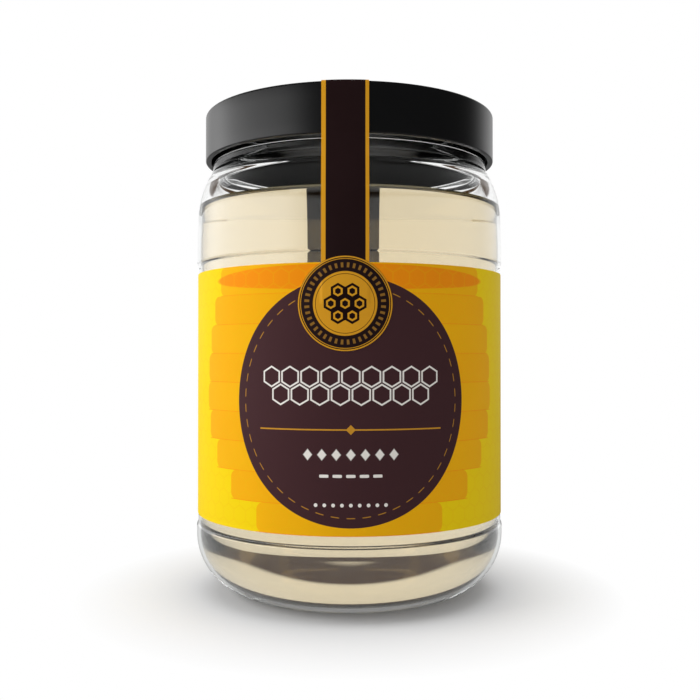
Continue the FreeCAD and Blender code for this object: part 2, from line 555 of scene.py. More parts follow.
def paper_group() -> bpy.types.NodeTree:
    """Fine fibre and a slow change of tone on paper, at a place in metres."""

    def recipe(graph: Graph, given: dict[str, Signal]) -> dict[str, Signal]:
        """Fine fibre with specks, and a tone with some of the fibre in it."""
        fibre = graph.noise(given["Place"], 5200.0, 3.0, 0.65)
        cloud = graph.noise(given["Place"], 95.0, 2.0)
        speck = graph.noise(given["Place"], 1700.0, 1.0)
        return {"Fibre": fibre * 0.7 + speck * 0.3, "Tone": cloud * 0.6 + fibre * 0.4}

    return shared_group("paper", ("Place",), ("Fibre", "Tone"), recipe)


def new_surface(name: str) -> tuple[Graph, bpy.types.Node, bpy.types.Node]:
    """A material with one Principled surface.

    Args:
        name: the material's name.

    Returns:
        Its graph, its shader and its output.
    """
    material = bpy.data.materials.new(name)
    material.use_nodes = True
    tree = material.node_tree
    tree.nodes.clear()
    graph = Graph(tree)
    shader = graph.node("ShaderNodeBsdfPrincipled")
    output = graph.node("ShaderNodeOutputMaterial")
    tree.links.new(shader.outputs[0], output.inputs["Surface"])
    return graph, shader, output


def material_of(graph: Graph) -> bpy.types.Material:
    """The material that a graph's tree belongs to."""
    return next(m for m in bpy.data.materials if m.node_tree == graph.tree)


def soak(graph: Graph, output: bpy.types.Node, tint: Colour, density: float) -> None:
    """Fills a clear material with a colour that deepens with the way through it."""
    absorb = graph.fill(graph.node("ShaderNodeVolumeAbsorption"), Color=tint, Density=density)
    graph.put(output.inputs["Volume"], absorb.outputs[0])


# ---------------------------------------------------------------- finishes


@dataclass(frozen=True)
class ClearGlass:
    """Flint glass: colourless face on, faintly grey where it is seen edge on."""

    ior: float = 1.47
    coat: float = 0.0
    tint: Colour = (0.90, 0.91, 0.905)
    density: float = 60.0
    ripple: float = 0.05
    ripple_depth: float = 0.0004
    coat_ior: float = 1.55

    def material(self, name: str) -> bpy.types.Material:
        """Builds the glass under a name."""
        graph, shader, output = new_surface(name)
        haze = graph.noise(graph.object_place(), 55.0)
        graph.fill(
            shader, IOR=self.ior, Transmission_Weight=1.0, Roughness=haze * 0.01,
            Base_Color=graph.blend(haze, (0.995, 0.997, 0.995), (1.0, 1.0, 1.0)),
            Normal=graph.bump(haze, self.ripple, self.ripple_depth),
            Coat_Weight=self.coat, Coat_Roughness=0.01, Coat_IOR=self.coat_ior,
        )
        soak(graph, output, self.tint, self.density)
        return material_of(graph)


@dataclass(frozen=True)
class ClearHoney:
    """Pale liquid honey, which gets its colour from its depth."""

    ior: float = 1.40
    tint: Colour = (0.848, 0.738, 0.473)
    density: float = 22.0

    def material(self) -> bpy.types.Material:
        """Builds the honey."""
        graph, shader, output = new_surface("clear_honey")
        swirl = graph.noise(graph.object_place(), 30.0)
        graph.fill(
            shader, IOR=self.ior, Transmission_Weight=1.0, Roughness=swirl * 0.012,
            Base_Color=graph.blend(swirl, (1.0, 0.985, 0.94), (1.0, 0.992, 0.965)),
        )
        soak(graph, output, self.tint, self.density)
        return material_of(graph)


@dataclass(frozen=True)
class SatinPlastic:
    """Moulded black plastic with a fine even grain."""

    colour: Colour = (0.0038, 0.0038, 0.0041)
    roughness: float = 0.30
    specular: float = 0.36
    grain_depth: float = 0.000005

    def material(self) -> bpy.types.Material:
        """Builds the plastic."""
        graph, shader, _ = new_surface("satin_black")
        place = graph.object_place()
        grain = graph.noise(place, 2600.0, 3.0, 0.6)
        cloud = graph.noise(place, 60.0, 3.0)
        light = tuple(c * 1.5 for c in self.colour)
        graph.fill(
            shader, Base_Color=graph.blend(cloud, self.colour, light), Specular_IOR_Level=self.specular,
            Roughness=cloud * 0.08 + grain * 0.05 + (self.roughness - 0.06),
            Normal=graph.bump(grain, 0.2, self.grain_depth),
        )
        return material_of(graph)


@dataclass(frozen=True)
class PaperCore:
    """The inside of a printed paper, which shows at its edges and on its back."""

    name: str = "paper_core"
    colour: Colour = (0.90, 0.86, 0.78)

    def material(self) -> bpy.types.Material:
        """Builds the paper."""
        graph, shader, _ = new_surface(self.name)
        paper = graph.use(paper_group(), Place=graph.object_place())
        dim = tuple(0.86 * c for c in self.colour)
        graph.fill(
            shader, Base_Color=graph.blend(paper["Tone"], dim, self.colour), Roughness=0.8,
            Normal=graph.bump(paper["Fibre"], 0.3, 0.00005),
        )
        return material_of(graph)


class Ink(Enum):
    """The inks of the prints."""

    YELLOW = (0.93, 0.66, 0.002)
    LIGHT_YELLOW = (0.96, 0.70, 0.002)
    AMBER = (0.94, 0.470, 0.003)
    ORANGE = (0.95, 0.275, 0.003)
    COMB = (0.90, 0.52, 0.003)
    PLUM = (0.058, 0.0225, 0.026)
    DARK = (0.0115, 0.0036, 0.0038)
    SOFT_DARK = (0.022, 0.0100, 0.0108)
    GOLD = (0.62, 0.29, 0.025)
    BRIGHT_GOLD = (0.72, 0.335, 0.016)
    DIM_GOLD = (0.28, 0.135, 0.022)
    CREAM = (0.90, 0.87, 0.82)
    SHADE = (0.90, 0.89, 0.88)


@dataclass
class PrintJob:
    """Lays inks over each other on one printed face, from the ground up."""

    graph: Graph
    colour: object

    def lay(self, mask: Signal, ink: Ink, strength: float = 1.0) -> None:
        """Prints one ink where a mask is 1."""
        share = mask if strength == 1.0 else mask * strength
        self.colour = self.graph.blend(share, self.colour, ink.value)

    def stroke(self, distance: Signal, centre: float, width: float) -> Signal:
        """A line where a distance equals a value."""
        return self.graph.use(stroke_group(), Distance=distance, Centre=centre, Width=width)["Mask"]

    def rosette(self, across: Signal, up: Signal, cell: float) -> tuple[Signal, Signal]:
        """Seven comb cells of a width: nearness to a cell's border, and a mask of the seven."""
        comb = self.graph.use(comb_group(), Across=across, Up=up, Cell=cell)
        return comb["Edge"], size_of(comb["Cell Across"], comb["Cell Up"]).below(cell + 0.5)

    def marks(self, across: Signal, up: Signal, row: "MarkRow") -> Signal:
        """A row of equal marks."""
        return self.graph.use(
            marks_group(), Across=across, Up=up - row.height, Period=row.period, Reach=row.reach,
            Half_Width=row.half_width, Half_Height=row.half_height, Power=row.power,
        )["Mask"]


@dataclass(frozen=True)
class MarkRow:
    """One row of equal marks on a print, in millimetres."""

    height: float
    period: float
    reach: float
    half_width: float
    half_height: float
    power: float


@dataclass(frozen=True)
class LabelPrint:
    """The label: amber bars on yellow, comb cells, and a plum roundel with a cream comb border."""

    height: float
    bars: int = 9
    bar_reach: float = 35.5
    bar_corner: float = 1.5
    taper_above: float = 7.0
    taper_below: float = 20.5
    mouth_height: float = 23.7
    mouth_size: tuple[float, float] = (31.0, 2.5)
    cell: float = 3.4
    roundel_radius: float = 24.3
    roundel_across: float = 0.3
    roundel_up: float = -0.5
    dash_inset: float = 1.9
    dash_width: float = 0.18
    dash_count: float = 46.0
    comb_cell: float = 4.0
    comb_top: float = 4.30
    comb_reach: float = 17.0
    rule_height: float = -5.9
    rule_reach: float = 18.6
    rows: tuple[MarkRow, ...] = (
        MarkRow(-10.7, 2.8, 10.0, 0.90, 1.10, 1.0),
        MarkRow(-14.8, 2.6, 6.5, 0.90, 0.30, 6.0),
        MarkRow(-20.4, 1.7, 7.2, 0.36, 0.36, 2.0),
    )
    side_centre: float = 70.0
    panel_size: tuple[float, float] = (17.0, 19.0)
    disc_radius: float = 15.0
    disc_cell: float = 5.6
    roughness: float = 0.50
    specular: float = 0.08

    def bars_on(self, job: PrintJob, across: Signal, up: Signal) -> None:
        """Amber bars on each other, whose reach shrinks with the square of their height, and a mouth.

        Each bar is a rectangle with round corners: within the corner's size of both its end and
        its edge, a place is inside where its distance from the corner's middle is under that size.
        """
        tall = self.height / self.bars
        number = ((up + self.height / 2) / tall).call("FLOOR")
        middle = (number + 0.5) * tall - self.height / 2
        taper = self.taper_below + middle.above(0.0, 0.1) * (self.taper_above - self.taper_below)
        reach = self.bar_reach - (middle / (self.height / 2)).power(2.0) * taper
        past = (abs(across) - (reach - self.bar_corner)).call("MAXIMUM", 0.0)
        over = (abs(up - middle) - (tall / 2 - self.bar_corner)).call("MAXIMUM", 0.0)
        inside = size_of(past, over).below(self.bar_corner)
        job.lay(inside, Ink.AMBER)
        odd = (number * 0.5).call("FRACT").above(0.25, 0.1)
        job.lay(inside * odd, Ink.ORANGE, 0.12)
        seam = (up - middle).below(0.14 - tall / 2, 0.1) * abs(across).below(reach)
        job.lay(seam, Ink.ORANGE, 0.75)
        wide, high = self.mouth_size
        mouth = (across / wide).power(2.0) + ((up - self.mouth_height) / high).power(2.0)
        job.lay(mouth.below(1.0, 0.08), Ink.ORANGE, 0.9)

    def cells_on(self, job: PrintJob, across: Signal, up: Signal) -> None:
        """Faint comb cells all over the ground."""
        comb = job.graph.use(comb_group(), Across=across, Up=up, Cell=self.cell)
        job.lay(comb["Edge"].above(0.92, 0.05), Ink.COMB, 0.22)

    def roundel_on(self, job: PrintJob, across: Signal, up: Signal) -> Signal:
        """The plum disc, its dashed border, the cream comb, the rule and the rows under it.

        Args:
            job: the print.
            across: place across the label.
            up: place up the label.

        Returns:
            Where gold ink lies.
        """
        x, y = across - self.roundel_across, up - self.roundel_up
        away = size_of(x, y)
        job.lay(away.below(self.roundel_radius), Ink.PLUM)
        dashes = job.graph.use(spokes_group(), Across=x, Up=y, Count=self.dash_count, Share=0.52)["Mask"]
        border = job.stroke(away, self.roundel_radius - self.dash_inset, self.dash_width) * dashes
        job.lay(border, Ink.GOLD, 0.75)
        comb = job.graph.use(comb_group(), Across=x, Up=up - self.comb_top, Cell=self.comb_cell)
        chosen = abs(comb["Cell Up"] + self.comb_cell * 0.433).below(self.comb_cell * 0.5)
        chosen = chosen * abs(comb["Cell Across"]).below(self.comb_reach)
        ring = comb["Edge"].above(0.77, 0.04) * comb["Edge"].below(0.93, 0.04)
        job.lay(ring * chosen, Ink.CREAM)
        level = up - self.rule_height
        rule = abs(level).below(0.14) * abs(x).below(self.rule_reach)
        gem = (abs(level) + abs(x)).below(0.95)
        job.lay(rule.either(gem), Ink.GOLD)
        for row in self.rows:
            job.lay(job.marks(x, up, row), Ink.CREAM)
        return border.either(rule).either(gem)

    def sides_on(self, job: PrintJob, across: Signal, up: Signal) -> None:
        """A pale panel with plain bars on one side and a small plum comb disc on the other."""
        x = across - self.side_centre
        wide, high = self.panel_size
        panel = ((abs(x) / wide).power(8.0) + (abs(up) / high).power(8.0)).below(1.0)
        job.lay(panel, Ink.CREAM)
        for index in range(7):
            reach = 13.5 - (index % 3) * 2.6
            row = MarkRow(13.5 - 4.4 * index, 60.0, 1.0, reach, 0.42, 8.0)
            job.lay(job.marks(x, up, row), Ink.PLUM, 0.85)
        x = across + self.side_centre
        away = size_of(x, up)
        job.lay(away.below(self.disc_radius), Ink.PLUM)
        job.lay(job.stroke(away, self.disc_radius - 1.4, 0.3), Ink.GOLD)
        edge, near = job.rosette(x, up, self.disc_cell)
        job.lay(edge.above(0.72, 0.04) * edge.below(0.92, 0.04) * near, Ink.CREAM)

    def material(self) -> bpy.types.Material:
        """Builds the printed face."""
        graph, shader, _ = new_surface("label_print")
        across, up = graph.print_place()
        paper = graph.use(paper_group(), Place=graph.object_place())
        ground = graph.blend(paper["Tone"], Ink.YELLOW.value, Ink.LIGHT_YELLOW.value)
        job = PrintJob(graph, ground)
        self.bars_on(job, across, up)
        self.cells_on(job, across, up)
        self.sides_on(job, across, up)
        gold = self.roundel_on(job, across, up)
        graph.fill(
            shader, Base_Color=graph.blend(paper["Tone"], job.colour, Ink.SHADE.value, "MULTIPLY"),
            Roughness=(paper["Tone"] * 0.08 + self.roughness) - gold * 0.2,
            Normal=graph.bump(paper["Fibre"] + gold * 0.8, 0.12, 0.00003),
            Specular_IOR_Level=self.specular,
        )
        return material_of(graph)


@dataclass(frozen=True)
class BandPrint:
    """The band: near black with a gold line along each edge."""

    width: float
    left_line: float = 0.88
    right_line: float = 0.70
    roughness: float = 0.55
    specular: float = 0.06

    def material(self) -> bpy.types.Material:
        """Builds the printed face."""
        graph, shader, _ = new_surface("band_print")
        across, _up = graph.print_place()
        paper = graph.use(paper_group(), Place=graph.object_place())
        job = PrintJob(graph, graph.blend(paper["Tone"], Ink.DARK.value, Ink.SOFT_DARK.value))
        half = self.width / 2
        gold = across.below(self.left_line - half).either(across.above(half - self.right_line))
        job.lay(gold, Ink.BRIGHT_GOLD)
        graph.fill(
            shader, Base_Color=job.colour, Specular_IOR_Level=self.specular,
            Roughness=(paper["Tone"] * 0.10 + self.roughness) - gold * 0.15,
            Normal=graph.bump(paper["Fibre"] + gold, 0.15, 0.00003),
        )
        return material_of(graph)


@dataclass(frozen=True)
class SealPrint:
    """The seal: rings, a border of small marks, and a rosette of seven comb cells on gold."""

    radius: float
    outer_line: float = 9.02
    inner_line: float = 8.62
    disc: float = 6.22
    disc_line: float = 5.72
    marks_at: float = 7.42
    marks_count: float = 40.0
    cell: float = 2.75
    roughness: float = 0.50
    specular: float = 0.10

    def material(self) -> bpy.types.Material:
        """Builds the printed face."""
        graph, shader, _ = new_surface("seal_print")
        across, up = graph.print_place()
        paper = graph.use(paper_group(), Place=graph.object_place())
        away = size_of(across, up)
        job = PrintJob(graph, graph.blend(paper["Tone"], Ink.DARK.value, Ink.SOFT_DARK.value))
        disc = away.below(self.disc)
        job.lay(disc, Ink.BRIGHT_GOLD)
        lines = job.stroke(away, self.outer_line, 0.26).either(job.stroke(away, self.inner_line, 0.13))
        job.lay(lines, Ink.BRIGHT_GOLD)
        spokes = graph.use(spokes_group(), Across=across, Up=up, Count=self.marks_count, Share=0.42)["Mask"]
        marks = job.stroke(away, self.marks_at, 0.95) * spokes
        job.lay(marks, Ink.DIM_GOLD)
        job.lay(job.stroke(away, self.disc_line, 0.11), Ink.DARK)
        edge, near = job.rosette(across, up, self.cell)
        drawn = (edge.above(0.66, 0.05) * near).either(edge.below(0.40, 0.05) * near)
        job.lay(drawn, Ink.DARK)
        relief = (lines.either(marks) + disc * 0.5) - drawn * 0.5
        graph.fill(
            shader, Base_Color=graph.blend(paper["Tone"] * 0.10, job.colour, Ink.DARK.value),
            Roughness=(paper["Tone"] * 0.08 + self.roughness) - disc.either(lines) * 0.2,
            Normal=graph.bump(paper["Fibre"] * 0.5 + relief, 0.25, 0.00004),
            Specular_IOR_Level=self.specular,
        )
        return material_of(graph)


# ---------------------------------------------------------------- the jar's pieces


@dataclass
class GlassJar:
    """The blown glass: all sizes in millimetres, with the overall ones from the frame."""

    heel_radius: float = 13.35
    foot_width: float = 1.6
    push_up: float = 2.2
    panel_depth: float = 0.3
    panel_blend: float = 0.8
    label_margin: float = 1.9
    upper_band: float = 0.3
    lean_radius: float = 185.0
    lean_turn: float = 3.2
    shoulder_radius: float = 19.3
    bead_inset: float = 3.45
    bead_height: float = 1.9
    side_wall: float = 2.1
    centre_wall: float = 2.6
    finish_wall: float = 2.4
    thread_room: float = 1.35
    inner_foot_round: float = 0.5
    foot_round: float = 0.3
    bead_round: float = 0.7
    rim_round: float = 0.7
    longest: float = 2.2
    throat_radius: float = 30.5
    throat_round: float = 0.7
    step_round: float = 0.5
    mouth_round: float = 1.0
    throat_height: float = 1.3
    throat_rise: float = 2.6
    lid_overhang: float = 1.6
    lid_skirt_wall: float = 1.2
    neck: ClearGlass = field(default_factory=lambda: ClearGlass(ior=1.24))
    body: ClearGlass = field(default_factory=lambda: ClearGlass(ior=1.01, coat=0.75))

    def __post_init__(self) -> None:
        """Takes the body, the rim and the label's place from the frame, and works out the rest."""
        low, high = box_mm("glass_jar")
        label_low, label_high = box_mm("wrap_label")
        self.body_radius = float(high[0] - low[0]) / 2
        self.rim = float(high[2])
        self.label_low, self.label_high = float(label_low[2]), float(label_high[2])
        self.panel_radius = self.body_radius - self.panel_depth
        self.bead_radius = self.body_radius - self.bead_inset
        self.finish_radius = self.bead_radius + self.lid_overhang - self.lid_skirt_wall - self.thread_room
        self.mouth_radius = self.finish_radius - self.finish_wall
        self.foot_radius = self.body_radius - self.heel_radius
        turn = math.acos(1 - self.panel_depth / (2 * self.panel_blend))
        self.step_turn = math.degrees(turn)
        self.step_height = 2 * self.panel_blend * math.sin(turn)
        self.panel_low = self.label_low - self.label_margin
        self.panel_high = self.label_high + self.label_margin
        self.lean_height = self.panel_high + self.step_height + self.upper_band
        lean = math.radians(self.lean_turn)
        self.lean_centre = (self.body_radius - self.lean_radius, self.lean_height)
        reach = self.lean_radius - self.shoulder_radius
        self.shoulder_centre = (
            self.lean_centre[0] + reach * math.cos(lean),
            self.lean_centre[1] + reach * math.sin(lean),
        )

    def step(self, radius: float, height: float, inwards: bool) -> np.ndarray:
        """The S of two equal arcs that takes the wall in or out, going up from a point."""
        size, turn = self.panel_blend, self.step_turn
        middle_height = height + self.step_height
        if inwards:
            low = arc((radius - size, height), size, 0.0, turn, 8)
            end = (radius - self.panel_depth + size, middle_height)
            return chain(low, arc(end, size, 180.0 + turn, 180.0, 8))
        low = arc((radius + size, height), size, 180.0, 180.0 - turn, 8)
        end = (radius + self.panel_depth - size, middle_height)
        return chain(low, arc(end, size, -turn, 0.0, 8))

    def shoulder(self, wall: float, end_radius: float) -> np.ndarray:
        """The lean and the shoulder, set in by a wall, up to where they reach a radius."""
        size = self.shoulder_radius - wall
        end = math.degrees(math.acos((end_radius - self.shoulder_centre[0]) / size))
        lean = arc(self.lean_centre, self.lean_radius - wall, 0.0, self.lean_turn, 8)
        return chain(lean, arc(self.shoulder_centre, size, self.lean_turn, end, 28))

    def outside(self) -> np.ndarray:
        """The outer side, from the middle of the push-up to the top of the rim."""
        inner_foot = (self.foot_radius - self.foot_width, 0.0)
        heel_centre = (self.foot_radius, self.heel_radius)
        shoulder = self.shoulder(0.0, self.bead_radius)
        root = tuple(shoulder[-1])
        bead_top = root[1] + self.bead_height
        points = chain(
            dome(self.push_up, inner_foot),
            segment(inner_foot, (self.foot_radius, 0.0)),
            arc(heel_centre, self.heel_radius, -90.0, 0.0, 40),
            self.step(self.body_radius, self.panel_low - self.step_height, True),
            self.step(self.panel_radius, self.panel_high, False),
            shoulder,
            segment(root, (self.bead_radius, bead_top)),
            segment((self.bead_radius, bead_top), (self.finish_radius, bead_top)),
            segment((self.finish_radius, bead_top), (self.finish_radius, self.rim)),
            segment((self.finish_radius, self.rim), (self.finish_radius - self.finish_wall / 2, self.rim)),
        )
        points = soften_all(
            points,
            (inner_foot, self.inner_foot_round),
            ((self.foot_radius, 0.0), self.foot_round),
            (root, self.bead_round),
            ((self.bead_radius, bead_top), self.inner_foot_round),
            ((self.finish_radius, bead_top), self.foot_round),
            ((self.finish_radius, self.rim), self.rim_round),
        )
        return divide(points, self.longest)

    def hollow(self, grow: float, end_radius: float) -> np.ndarray:
        """The inside, from the middle of the floor up to the mouth, grown into the wall."""
        wall = self.side_wall - grow
        floor = (self.foot_radius, wall)
        points = chain(
            dome(self.push_up + self.centre_wall - grow, floor),
            arc((self.foot_radius, self.heel_radius), self.heel_radius - wall, -90.0, 0.0, 40),
            *self.hollow_side(wall, grow > 0),
            self.shoulder(wall, end_radius),
        )
        return divide(points, self.longest)

    def hollow_side(self, wall: float, stepped: bool) -> list[np.ndarray]:
        """The upright inside, plain or with the outer side's two steps, set in by a wall."""
        radius = self.body_radius - wall
        if not stepped:
            return [segment((radius, self.heel_radius), (radius, self.lean_height))]
        low = self.step(radius, self.panel_low - self.step_height, True)
        return [low, self.step(radius - self.panel_depth, self.panel_high, False)]

    def inside(self) -> np.ndarray:
        """The inner side, from the rim down, with a short upright throat under a slope to the mouth."""
        up = self.hollow(0.0, self.throat_radius)
        neck = tuple(up[-1])
        step = neck[1] + self.throat_height
        top = step + self.throat_rise
        points = chain(
            up,
            segment(neck, (self.throat_radius, step)),
            segment((self.throat_radius, step), (self.mouth_radius, top)),
            segment((self.mouth_radius, top), (self.mouth_radius, self.rim)),
            segment((self.mouth_radius, self.rim), (self.mouth_radius + self.finish_wall / 2, self.rim)),
        )
        points = soften_all(
            points,
            ((self.mouth_radius, self.rim), self.rim_round),
            ((self.throat_radius, step), self.step_round),
            ((self.mouth_radius, top), self.mouth_round),
            (neck, self.throat_round),
        )
        return divide(points, self.longest)[::-1]

    def build(self) -> bpy.types.Object:
        """Turns the outside and the inside as one closed shell."""
        points, faces = turned(chain(self.outside(), self.inside()))
        materials = [self.neck.material("neck_glass"), self.body.material("body_glass")]
        piece = new_piece("jar_glass", points, faces, materials)
        middle = np.zeros(len(faces) * 3)
        piece.data.polygons.foreach_get("center", middle)
        filled = middle[2::3] / MM < box_mm("honey")[1][2]
        piece.data.polygons.foreach_set("material_index", filled.astype(np.int32))
        return install(piece, "glass_jar")


@dataclass
class HoneyFill:
    """The honey, grown a little into the glass, with a low curl where it meets the wall."""

    jar: GlassJar
    into_wall: float = 1.05
    curl_height: float = 0.55
    curl_width: float = 1.6
    finish: ClearHoney = field(default_factory=ClearHoney)

    def build(self) -> bpy.types.Object:
        """Turns the hollow's outline up to the level, and the top, which rises as a square."""
        level = float(box_mm("honey")[1][2])
        side = self.jar.hollow(self.into_wall, self.jar.mouth_radius)
        top = level + self.curl_height
        side = chain(side[side[:, 1] < top], along_height(side, top))
        reach = float(side[-1, 0])
        radius = np.concatenate([np.linspace(reach, reach - self.curl_width, 12), [reach * 0.5, 0.0]])
        near = np.clip(1 - (reach - radius) / self.curl_width, 0.0, 1.0)
        surface = np.column_stack([radius, level + self.curl_height * near ** 2])
        points, faces = turned(chain(side, divide(surface, 3.0)))
        piece = new_piece("honey_fill", points, faces, [self.finish.material()], crease=50.0)
        return install(piece, "honey")


def along_height(points: np.ndarray, height: float) -> np.ndarray:
    """The one point at which a rising outline reaches a height."""
    return np.array([[np.interp(height, points[:, 1], points[:, 0]), height]])


def lid_sizes() -> tuple[float, float, float]:
    """The lid's radius, and the heights of its foot and its top."""
    low, high = box_mm("lid")
    return float(high[0]), float(low[2]), float(high[2])


@dataclass
class ScrewLid:
    """The closed cap, with a rolled top edge and a hollow skirt."""

    jar: GlassJar
    skirt_wall: float = 1.2
    top_round: float = 0.5
    foot_round: float = 0.3
    lip_round: float = 0.2
    inner_round: float = 0.8
    finish: SatinPlastic = field(default_factory=SatinPlastic)

    def build(self) -> bpy.types.Object:
        """Turns the lid's outline: up the skirt's inside, round its foot and over the top."""
        radius, foot, top = lid_sizes()
        bore = radius - self.skirt_wall
        corners = ((bore, self.jar.rim), (bore, foot), (radius, foot), (radius, top))
        points = np.array([(0.0, self.jar.rim), *corners, (0.0, top)])
        reaches = (self.inner_round, self.lip_round, self.foot_round, self.top_round)
        points, faces = turned(divide(soften_all(points, *zip(corners, reaches)), 2.5))
        piece = new_piece("screw_lid", points, faces, [self.finish.material()], crease=50.0)
        return install(piece, "lid")


@dataclass
class WrapLabel:
    """The printed paper round the panel, glued over itself in one seam at the back."""

    jar: GlassJar
    thickness: float = 0.15
    overlap: float = 5.0
    ramp: float = 0.6
    around: int = 360

    def build(self, core: bpy.types.Material) -> bpy.types.Object:
        """A grid of turn and height. The radius rises by one thickness over the glued end."""
        low, high = self.jar.label_low, self.jar.label_high
        radius = self.jar.panel_radius
        full = 2 * math.pi * radius
        run = np.linspace(-full / 2, full / 2 + self.overlap, self.around)
        run = np.union1d(run, full / 2 - self.ramp * np.linspace(0.0, 1.0, 7))
        over = smooth_step((run - full / 2 + self.ramp) / self.ramp) * self.thickness
        turn = run / radius
        heights = np.linspace(low, high, 25)
        faces = grid_faces(len(heights), len(run))

        def face(extra: float) -> np.ndarray:
            """The sheet's points at a distance outside its inner face."""
            size = radius + over + extra
            flat = np.stack([size * np.sin(turn), -size * np.cos(turn)], axis=-1)
            tall = np.repeat(heights[:, None], len(run), axis=1)
            return np.dstack([np.broadcast_to(flat, (len(heights), *flat.shape)), tall]).reshape(-1, 3)

        flat = np.stack(np.meshgrid(run, heights - (low + high) / 2), axis=-1).reshape(-1, 2)
        rim = grid_rim(len(heights), len(run))
        sheet = Sheet(face(self.thickness), face(0.0), faces, rim, flat)
        piece = sheet.build("wrap_label", [LabelPrint(height=high - low).material(), core])
        return install(piece, "wrap_label")


@dataclass
class PaperPath:
    """The line that the band lies on, from the lid's middle down over the glass to the label."""

    jar: GlassJar
    lid_top_round: float = 0.5

    def points(self, end: float) -> np.ndarray:
        """Radius and height along the path, down to a height on the label.

        The straight piece from the lid's foot leaves the shoulder's circle where the line from
        the foot touches it: at the turn of that point less the arc cosine of radius over distance.
        """
        jar = self.jar
        radius, foot, top = lid_sizes()
        across, rise = radius - jar.shoulder_centre[0], foot - jar.shoulder_centre[1]
        touch = math.atan2(rise, across) - math.acos(jar.shoulder_radius / math.hypot(across, rise))
        label = jar.panel_radius + 0.15
        edge = self.lid_top_round
        return chain(
            segment((0.0, top), (radius - edge, top)),
            arc((radius - edge, top - edge), edge, 90.0, 0.0, 9),
            segment((radius, top - edge), (radius, foot)),
            arc(jar.shoulder_centre, jar.shoulder_radius, math.degrees(touch), jar.lean_turn, 14),
            arc(jar.lean_centre, jar.lean_radius, jar.lean_turn, 0.0, 10),
            segment((jar.body_radius, jar.panel_high + jar.step_height), (label, jar.label_high)),
            segment((label, jar.label_high), (label, end)),
        )


def outward(path: np.ndarray) -> np.ndarray:
    """Unit normals of a path that runs outwards and then down, pointing up and out."""
    way = np.gradient(path, axis=0)
    normal = np.column_stack([-way[:, 1], way[:, 0]])
    return normal / np.linalg.norm(normal, axis=1)[:, None]


@dataclass
class SealBand:
    """The paper band over the lid, with a short tail at the back."""

    path: PaperPath
    thickness: float = 0.2
    across: int = 13

    def build(self, core: bpy.types.Material) -> bpy.types.Object:
        """Carries a straight width along the path: y is the root of radius squared less x squared."""
        low, high = box_mm("seal_strip")
        left, right = float(low[0]), float(high[0])
        front, back = (divide(self.path.points(end), 0.8) for end in (float(low[2]), self.tail_end()))
        columns = np.linspace(left, right, self.across)

        def side(points: np.ndarray, extra: float, way: float) -> np.ndarray:
            """Rows of points down one side of the jar: way is -1 for the front and 1 for the back."""
            moved = points + outward(points) * extra
            moved[0] = (0.0, points[0, 1] + extra)
            lid_edge = points[points[:, 1] >= points[0, 1] - 1e-9][-1, 0]
            radius = moved[:, 0][:, None]
            flat = radius / lid_edge * np.sqrt(lid_edge ** 2 - columns ** 2)
            round_part = np.sqrt(np.maximum(radius ** 2 - columns ** 2, 0.0))
            depth = np.where(radius <= lid_edge, flat, round_part)
            tall = np.repeat(moved[:, 1][:, None], self.across, axis=1)
            return np.dstack([np.broadcast_to(columns, depth.shape), way * depth, tall])

        def face(extra: float) -> np.ndarray:
            """Both sides' rows as one sheet, from the front's end to the back's."""
            return np.concatenate([side(front, extra, -1.0)[::-1], side(back, extra, 1.0)[1:]])

        outer, inner = face(self.thickness), face(0.0)
        rows = len(outer)
        run = np.concatenate([-lengths(front)[::-1], lengths(back)[1:]])
        flat = np.stack(np.meshgrid(columns - (left + right) / 2, run), axis=-1).reshape(-1, 2)
        sheet = Sheet(
            outer.reshape(-1, 3), inner.reshape(-1, 3), grid_faces(rows, self.across),
            grid_rim(rows, self.across), flat,
        )
        piece = sheet.build("seal_band", [BandPrint(width=right - left).material(), core])
        return install(piece, "seal_strip")

    def tail_end(self) -> float:
        """Height of the tail's end at the back, in millimetres: the lowest CAD point behind."""
        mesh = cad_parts["seal_strip"].data
        points = np.zeros(len(mesh.vertices) * 3)
        mesh.vertices.foreach_get("co", points)
        points = points.reshape(-1, 3)
        return float(points[points[:, 1] > 0][:, 2].min()) / MM


